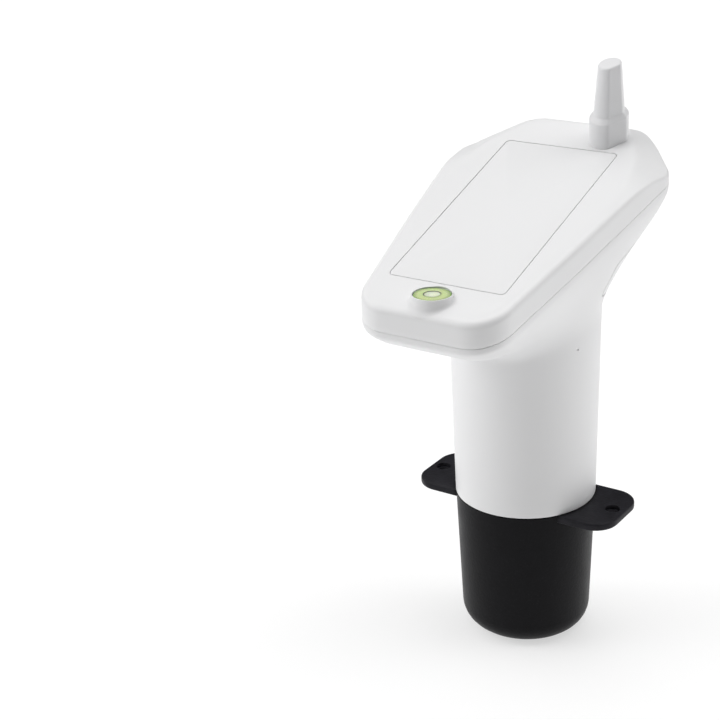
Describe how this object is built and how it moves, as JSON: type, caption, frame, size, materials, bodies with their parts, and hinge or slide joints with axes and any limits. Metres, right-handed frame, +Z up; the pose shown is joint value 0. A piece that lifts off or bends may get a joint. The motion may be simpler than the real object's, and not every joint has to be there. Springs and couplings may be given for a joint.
{
  "type": "ultrasonic level gauge",
  "caption": "Tank-top ultrasonic level gauge: black mounting cup with screw ears, white tapered tube and sloping head with bubble level, lid panel and stub antenna.",
  "frame": {"origin": "centre of the ears' underside, half way between the two ear screw holes, where the gauge rests on the tank", "axes": "+Z up the tube, -Y to the low front of the head, +X along the ears"},
  "size_m": [0.091, 0.1363, 0.2303],
  "materials": {
    "cup_plastic": "fine moulded texture",
    "seal_rubber": "matt",
    "housing_plastic": "satin",
    "door_plastic": "satin",
    "cover_plastic": "satin",
    "gasket_rubber": "matt",
    "screw_steel": "plain",
    "plate_plastic": "satin",
    "vial_clear": "clear",
    "level_fluid": "clear, tinted",
    "antenna_plastic": "satin",
    "rod_brass": "plain",
    "board_laminate": "varnished",
    "shield_metal": "pressed",
    "chip_black": "moulded",
    "socket_plastic": "moulded",
    "tray_plastic": "moulded",
    "cell_wrap": "satin",
    "contact_steel": "plated",
    "switch_plastic": "moulded",
    "button_plastic": "moulded",
    "sounder_metal": "turned",
    "lead_jacket": "matt"
  },
  "bodies": {
    "gauge": {"mounting_cup": "cup_plastic", "cup_seal": "seal_rubber", "lower_housing": "housing_plastic", "top_cover": "cover_plastic", "cover_gasket": "gasket_rubber", "cover_screws": "screw_steel", "label_plate": "plate_plastic", "level_vial": "vial_clear", "level_fluid": "level_fluid", "antenna_cap": "antenna_plastic", "antenna_rod": "rod_brass", "main_board": "board_laminate", "board_screws": "screw_steel", "radio_module": "shield_metal", "control_chip": "chip_black", "lead_socket": "socket_plastic", "battery_tray": "tray_plastic", "battery_lower": "cell_wrap", "battery_upper": "cell_wrap", "contact_plates": "contact_steel", "contact_springs": "contact_steel", "switch_body": "switch_plastic", "transducer": "sounder_metal", "transducer_sleeve": "seal_rubber", "clamp_ring": "tray_plastic", "clamp_screws": "screw_steel", "sensor_lead": "lead_jacket"},
    "door": {"battery_door": "door_plastic"},
    "button": {"pair_button": "button_plastic"}
  },
  "joints": [
    {"name": "door_off", "type": "slide", "parent": "gauge", "child": "door", "axis": [0, 1, 0], "range_m": [0, 0.07]},
    {"name": "pair_press", "type": "slide", "parent": "gauge", "child": "button", "axis": [0, -0.848, 0.5299], "range_m": [0, 0.0005], "stiffness_N_per_m": 1000}
  ]
}
